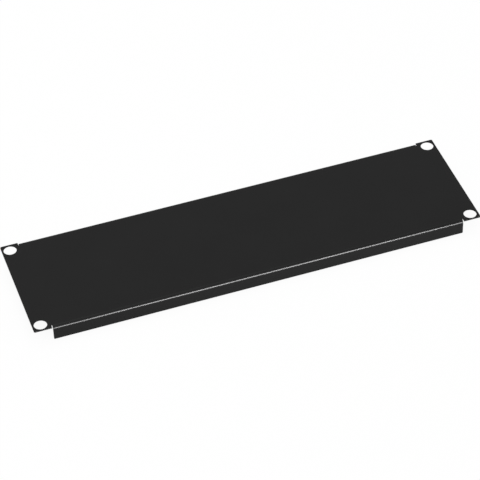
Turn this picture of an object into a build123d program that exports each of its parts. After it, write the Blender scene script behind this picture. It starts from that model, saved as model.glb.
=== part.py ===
from build123d import *
import os

# Rack blanking panel: one steel sheet that fills three units of a 19-inch rack.
# Its two long edges are folded back into flanges, and its two ends stay flat as ears,
# with a round hole in each corner.
#
# Millimetres. X runs along the panel and Y up its height as mounted. +Z points out of the
# front. The origin is the middle of the four holes, on the plane at the back of the ears,
# which is the plane that meets the rack.

# Rack sizes
rack_unit = 44.45
units_covered = 3
gap_to_next_panel = 0.85
panel_width = 482.6

# Sheet and folds
sheet = 1.5
bend_inside = 2.0
flange_depth = 17.0
flange_corner = 1.0

# Ears
ear_length = 19.6
ear_corner = 1.5
relief_width = 0.8
relief_past_bend = 0.6

# Holes: the inset is from the panel's end to the hole's centre, the rim from hole to long edge
hole_diameter = 13.6
hole_inset = 8.75
hole_rim = 1.3

# Punched edges, rounded over by the coat
edge_round = 0.25
corner_angle = 20

# Sizes that follow
panel_height = units_covered * rack_unit - gap_to_next_panel
flange_length = panel_width - 2 * ear_length
bend_outside = bend_inside + sheet
flange_edge = sheet - flange_depth
hole_spacing_x = panel_width - 2 * hole_inset
hole_spacing_y = panel_height - 2 * hole_rim - hole_diameter


def folded_body():
    """Face and flanges between the ears: one thickness of sheet all along flange, bend and face."""
    outside = panel_height / 2
    inside = outside - sheet
    with BuildPart() as body:
        with BuildSketch(Plane.YZ.offset(-flange_length / 2)):
            with BuildLine():
                outer = FilletPolyline(
                    (-outside, flange_edge),
                    (-outside, sheet),
                    (outside, sheet),
                    (outside, flange_edge),
                    radius=bend_outside,
                )
                inner = FilletPolyline(
                    (-inside, flange_edge),
                    (-inside, 0),
                    (inside, 0),
                    (inside, flange_edge),
                    radius=bend_inside,
                )
                Line(outer @ 0, inner @ 0)
                Line(outer @ 1, inner @ 1)
            make_face()
        extrude(amount=flange_length)
        fillet(body.edges().filter_by(Axis.Y).group_by(Axis.Z)[0], flange_corner)
    return body.part


def flat_blank():
    """The sheet where it stays flat: the whole face and both ears, cut back behind the bends."""
    bend_start = panel_height / 2 - bend_outside
    relief_end = bend_start - relief_past_bend + relief_width / 2
    relief_x = (flange_length + relief_width) / 2
    with BuildPart() as blank:
        with BuildSketch():
            RectangleRounded(panel_width, panel_height, ear_corner)
            for side in (-1, 1):
                with Locations((0, side * (bend_start + bend_outside / 2))):
                    Rectangle(flange_length, bend_outside, mode=Mode.SUBTRACT)
                for end in (-1, 1):
                    SlotCenterPoint(
                        (end * relief_x, side * panel_height / 2),
                        (end * relief_x, side * relief_end),
                        relief_width,
                        mode=Mode.SUBTRACT,
                    )
            with GridLocations(hole_spacing_x, hole_spacing_y, 2, 2):
                Circle(hole_diameter / 2, mode=Mode.SUBTRACT)
        extrude(amount=sheet)
    return blank.part


def sharp_edges(part):
    """Edges where two faces meet at a corner, which leaves out the lines where a bend runs into a flat."""
    sharp = []
    for edge in part.edges():
        sides = [face for face in part.faces() if any(side.is_same(edge) for side in face.edges())]
        if len(sides) == 2:
            normals = [face.normal_at(edge @ 0.5) for face in sides]
            if normals[0].get_angle(normals[1]) > corner_angle:
                sharp.append(edge)
    return sharp


def blanking_panel():
    """The finished panel, one solid."""
    with BuildPart() as panel:
        add(flat_blank())
        add(folded_body())
    return panel.part.fillet(edge_round, sharp_edges(panel.part))


os.makedirs("parts", exist_ok=True)
export_step(blanking_panel(), "parts/blanking_panel.step")
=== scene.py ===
from math import radians

import bpy
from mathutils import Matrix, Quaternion, Vector


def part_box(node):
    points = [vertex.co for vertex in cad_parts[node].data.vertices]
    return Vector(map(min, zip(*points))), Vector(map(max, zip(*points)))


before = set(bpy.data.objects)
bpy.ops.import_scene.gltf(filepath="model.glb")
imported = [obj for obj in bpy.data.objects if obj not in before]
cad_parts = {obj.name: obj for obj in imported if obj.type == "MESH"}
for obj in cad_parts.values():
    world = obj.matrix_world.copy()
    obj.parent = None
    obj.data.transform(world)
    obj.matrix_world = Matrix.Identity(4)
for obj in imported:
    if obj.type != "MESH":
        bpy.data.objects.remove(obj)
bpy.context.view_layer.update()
panel_low, panel_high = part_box("blanking_panel")

# Lengths are in metres, in the part's own frame: the panel lies face up on its flange edges.
floor_height = panel_low.z
panel_middle = (panel_low + panel_high) / 2

# Camera: a long lens from the front left, looking down on the face
camera_place = Vector((-0.5465, -1.689, 1.6297))
camera_aim = Vector((-0.0053, -0.0116, 0.0015))
camera_roll = radians(-1.97)
camera_lens = 174.1

# Floor and room: how much of the floor's white is lit and can take a shadow, and the fill light
floor_size = 12.0
floor_colour = 0.97
floor_lit_share = 0.07
room_glow = 0.5

# Lamps: a soft box overhead, and a thin strip between the floor and the level of the face
overhead_place = Vector((-0.3, 0.2, 2.5))
overhead_side = 3.0
overhead_power = 47.0
strip_place = Vector((0.34, -1.5, -0.0075))
strip_length = 0.9
strip_height = 0.013
strip_power = 168.0

# Powder coat: its lowest and highest grey and roughness, and the size and depth of its relief
coat_greys = (0.0076, 0.0088)
coat_roughness = (0.29, 0.35)
coat_specular = 0.09
cloud_size = 0.06
ripple_size = 0.0035
ripple_depth = 0.000005
grain_size = 0.0006
grain_depth = 0.000006
noise_middle = (0.3, 0.7)


def new_material(name):
    """A new material with only its output, its nodes and its links."""
    material = bpy.data.materials.new(name)
    material.use_nodes = True
    nodes = material.node_tree.nodes
    links = material.node_tree.links
    nodes.clear()
    output = nodes.new("ShaderNodeOutputMaterial")
    return material, nodes, links, output


def grey(level):
    """A plain grey as a colour."""
    return (level, level, level, 1.0)


def noise(nodes, links, place, lump, detail):
    """A noise whose lumps are about the given size in metres."""
    texture = nodes.new("ShaderNodeTexNoise")
    texture.inputs["Scale"].default_value = 1.0 / lump
    texture.inputs["Detail"].default_value = detail
    links.new(place, texture.inputs["Vector"])
    return texture.outputs["Fac"]


def spread(nodes, links, value, low, high):
    """Spreads the middle of a noise over the range from low to high."""
    scale = nodes.new("ShaderNodeMapRange")
    scale.inputs["From Min"].default_value = noise_middle[0]
    scale.inputs["From Max"].default_value = noise_middle[1]
    scale.inputs["To Min"].default_value = low
    scale.inputs["To Max"].default_value = high
    links.new(value, scale.inputs["Value"])
    return scale.outputs["Result"]


def bump(nodes, links, height, depth, below=None):
    """A bump of the given depth in metres, laid over another one."""
    node = nodes.new("ShaderNodeBump")
    node.inputs["Strength"].default_value = 1.0
    node.inputs["Distance"].default_value = depth
    links.new(height, node.inputs["Height"])
    if below is not None:
        links.new(below, node.inputs["Normal"])
    return node.outputs["Normal"]


def powder_coat():
    """Satin black powder coat: soft ripples from the melt under a fine grain."""
    material, nodes, links, output = new_material("black_powder_coat")
    coat = nodes.new("ShaderNodeBsdfPrincipled")
    coat.inputs["Specular IOR Level"].default_value = coat_specular
    place = nodes.new("ShaderNodeTexCoord").outputs["Object"]

    ripple = noise(nodes, links, place, ripple_size, detail=1.0)
    grain = noise(nodes, links, place, grain_size, detail=2.0)
    cloud = noise(nodes, links, place, cloud_size, detail=3.0)

    shade = nodes.new("ShaderNodeMix")
    shade.data_type = "RGBA"
    for end, level in zip(("A", "B"), coat_greys):
        shade.inputs[end].default_value = grey(level)
    links.new(spread(nodes, links, cloud, 0.0, 1.0), shade.inputs["Factor"])
    links.new(shade.outputs["Result"], coat.inputs["Base Color"])
    links.new(spread(nodes, links, grain, *coat_roughness), coat.inputs["Roughness"])

    rippled = bump(nodes, links, ripple, ripple_depth)
    links.new(bump(nodes, links, grain, grain_depth, rippled), coat.inputs["Normal"])
    links.new(coat.outputs["BSDF"], output.inputs["Surface"])
    return material


def seen_directly(nodes, links):
    """One for rays that should meet the white room: from the camera, in gloss and through glass."""
    path = nodes.new("ShaderNodeLightPath")
    first = nodes.new("ShaderNodeMath")
    first.operation = "MAXIMUM"
    links.new(path.outputs["Is Camera Ray"], first.inputs[0])
    links.new(path.outputs["Is Glossy Ray"], first.inputs[1])
    both = nodes.new("ShaderNodeMath")
    both.operation = "MAXIMUM"
    links.new(first.outputs[0], both.inputs[0])
    links.new(path.outputs["Is Transmission Ray"], both.inputs[1])
    return both.outputs[0]


def white_floor():
    """A white floor that keeps a light shadow, and that can be looked through from below."""
    material, nodes, links, output = new_material("white_floor")
    lit = nodes.new("ShaderNodeBsdfDiffuse")
    lit.inputs["Color"].default_value = grey(floor_colour)
    white = nodes.new("ShaderNodeEmission")
    white.inputs["Color"].default_value = grey(1.0)
    white.inputs["Strength"].default_value = 1.0
    share = nodes.new("ShaderNodeMath")
    share.operation = "MULTIPLY"
    share.inputs[1].default_value = 1.0 - floor_lit_share
    links.new(seen_directly(nodes, links), share.inputs[0])
    mix = nodes.new("ShaderNodeMixShader")
    links.new(share.outputs[0], mix.inputs["Fac"])
    links.new(lit.outputs["BSDF"], mix.inputs[1])
    links.new(white.outputs["Emission"], mix.inputs[2])

    underside = nodes.new("ShaderNodeMixShader")
    links.new(nodes.new("ShaderNodeNewGeometry").outputs["Backfacing"], underside.inputs["Fac"])
    links.new(mix.outputs["Shader"], underside.inputs[1])
    links.new(nodes.new("ShaderNodeBsdfTransparent").outputs["BSDF"], underside.inputs[2])
    links.new(underside.outputs["Shader"], output.inputs["Surface"])
    return material


def white_room():
    """A world that is white where it is seen and gives a plain fill light."""
    world = bpy.data.worlds.new("white_room")
    world.use_nodes = True
    nodes = world.node_tree.nodes
    links = world.node_tree.links
    nodes.clear()
    output = nodes.new("ShaderNodeOutputWorld")
    background = nodes.new("ShaderNodeBackground")
    level = nodes.new("ShaderNodeMapRange")
    level.inputs["To Min"].default_value = room_glow
    level.inputs["To Max"].default_value = 1.0
    links.new(seen_directly(nodes, links), level.inputs["Value"])
    links.new(level.outputs["Result"], background.inputs["Strength"])
    background.inputs["Color"].default_value = grey(1.0)
    links.new(background.outputs["Background"], output.inputs["Surface"])
    bpy.context.scene.world = world


def floor():
    """The floor under the panel's flange edges."""
    bpy.ops.mesh.primitive_plane_add(size=floor_size, location=(0.0, 0.0, floor_height))
    plane = bpy.context.object
    plane.name = "floor"
    plane.data.materials.append(white_floor())


def lamp(name, place, aim, width, height, power):
    """A soft box that points at aim and isn't seen itself."""
    data = bpy.data.lights.new(name, "AREA")
    data.shape = "RECTANGLE"
    data.size = width
    data.size_y = height
    data.energy = power
    lamp_object = bpy.data.objects.new(name, data)
    bpy.context.scene.collection.objects.link(lamp_object)
    lamp_object.location = place
    lamp_object.rotation_mode = "QUATERNION"
    lamp_object.rotation_quaternion = (aim - place).to_track_quat("-Z", "Y")
    lamp_object.visible_camera = False
    return lamp_object


def studio_lamps():
    """An overhead soft box, and a strip light low in front that draws the line along the near bend.

    The strip stands no higher than the face, so the face doesn't mirror it from any side.
    """
    lamp("overhead", overhead_place, panel_middle, overhead_side, overhead_side, overhead_power)
    strip_aim = strip_place + Vector((0.0, 1.0, 0.0))
    strip = lamp("strip_light", strip_place, strip_aim, strip_length, strip_height, strip_power)
    strip.visible_diffuse = False


def camera():
    """The camera, turned a little about its own view line."""
    data = bpy.data.cameras.new("camera")
    data.lens = camera_lens
    data.sensor_width = 36.0
    data.clip_end = 100.0
    camera_object = bpy.data.objects.new("camera", data)
    bpy.context.scene.collection.objects.link(camera_object)
    view = camera_aim - camera_place
    camera_object.location = camera_place
    camera_object.rotation_mode = "QUATERNION"
    turn = Quaternion((0.0, 0.0, 1.0), camera_roll)
    camera_object.rotation_quaternion = view.to_track_quat("-Z", "Y") @ turn
    bpy.context.scene.camera = camera_object


def dress_panel():
    """Puts the powder coat on the panel."""
    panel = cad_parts["blanking_panel"]
    coat = powder_coat()
    for slot in panel.material_slots:
        slot.material = coat


bpy.context.scene.view_settings.view_transform = "Standard"
camera()
white_room()
floor()
studio_lamps()
dress_panel()
